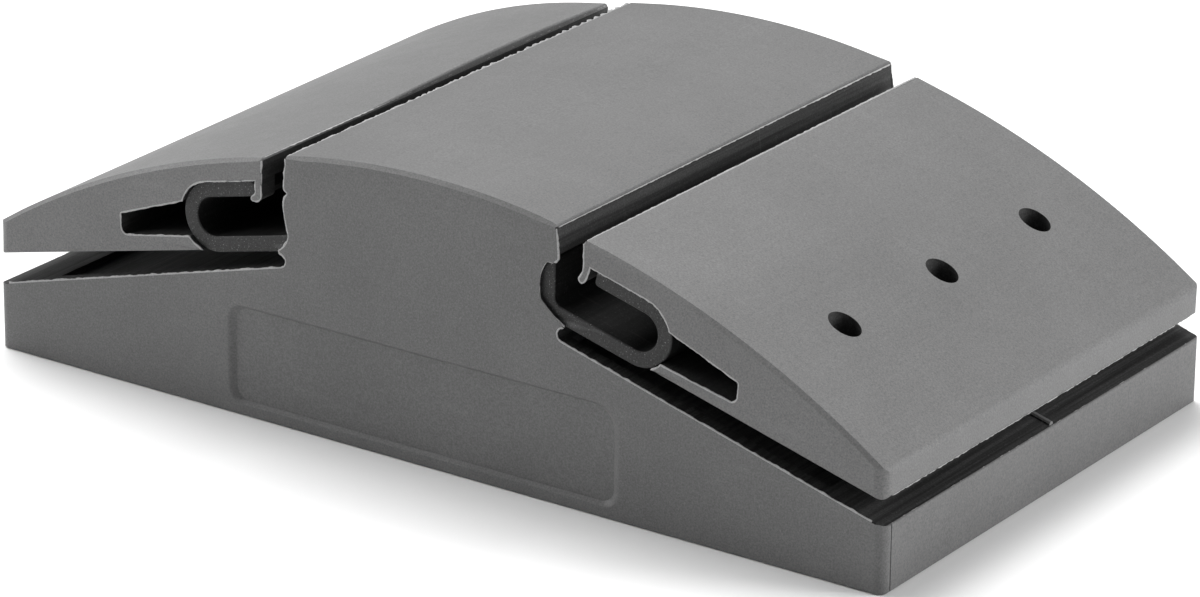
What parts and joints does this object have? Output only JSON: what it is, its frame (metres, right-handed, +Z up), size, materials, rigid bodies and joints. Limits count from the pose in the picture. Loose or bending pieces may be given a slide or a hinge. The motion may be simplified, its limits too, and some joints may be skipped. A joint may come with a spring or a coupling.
{
  "type": "rubber speed bump",
  "caption": "Moulded rubber speed bump module with a domed ridge and two sprung ramp flaps held by C-shaped clips.",
  "frame": {"origin": "middle of the footprint, on the road", "axes": "+X across the bump in the direction of travel, +Y along the module, +Z up"},
  "size_m": [0.3016, 0.1686, 0.085],
  "materials": {
    "base_rubber": "matte moulded rubber",
    "flap_rubber": "matte moulded rubber",
    "clip_rubber": "dark extruded rubber"
  },
  "bodies": {
    "base": {"base_body": "base_rubber"},
    "left_leaf": {"left_flap": "flap_rubber", "left_clip": "clip_rubber"},
    "right_leaf": {"right_flap": "flap_rubber", "right_clip": "clip_rubber"}
  },
  "joints": [
    {"name": "left_flap_rock", "type": "hinge", "parent": "base", "child": "left_leaf", "pos_m": [-0.047, 0, 0.0596], "axis": [0, -1, 0], "range_deg": [0, 4], "stiffness_Nm_per_rad": 60},
    {"name": "right_flap_rock", "type": "hinge", "parent": "base", "child": "right_leaf", "pos_m": [0.047, 0, 0.0596], "axis": [0, 1, 0], "range_deg": [0, 2.8], "stiffness_Nm_per_rad": 60}
  ]
}
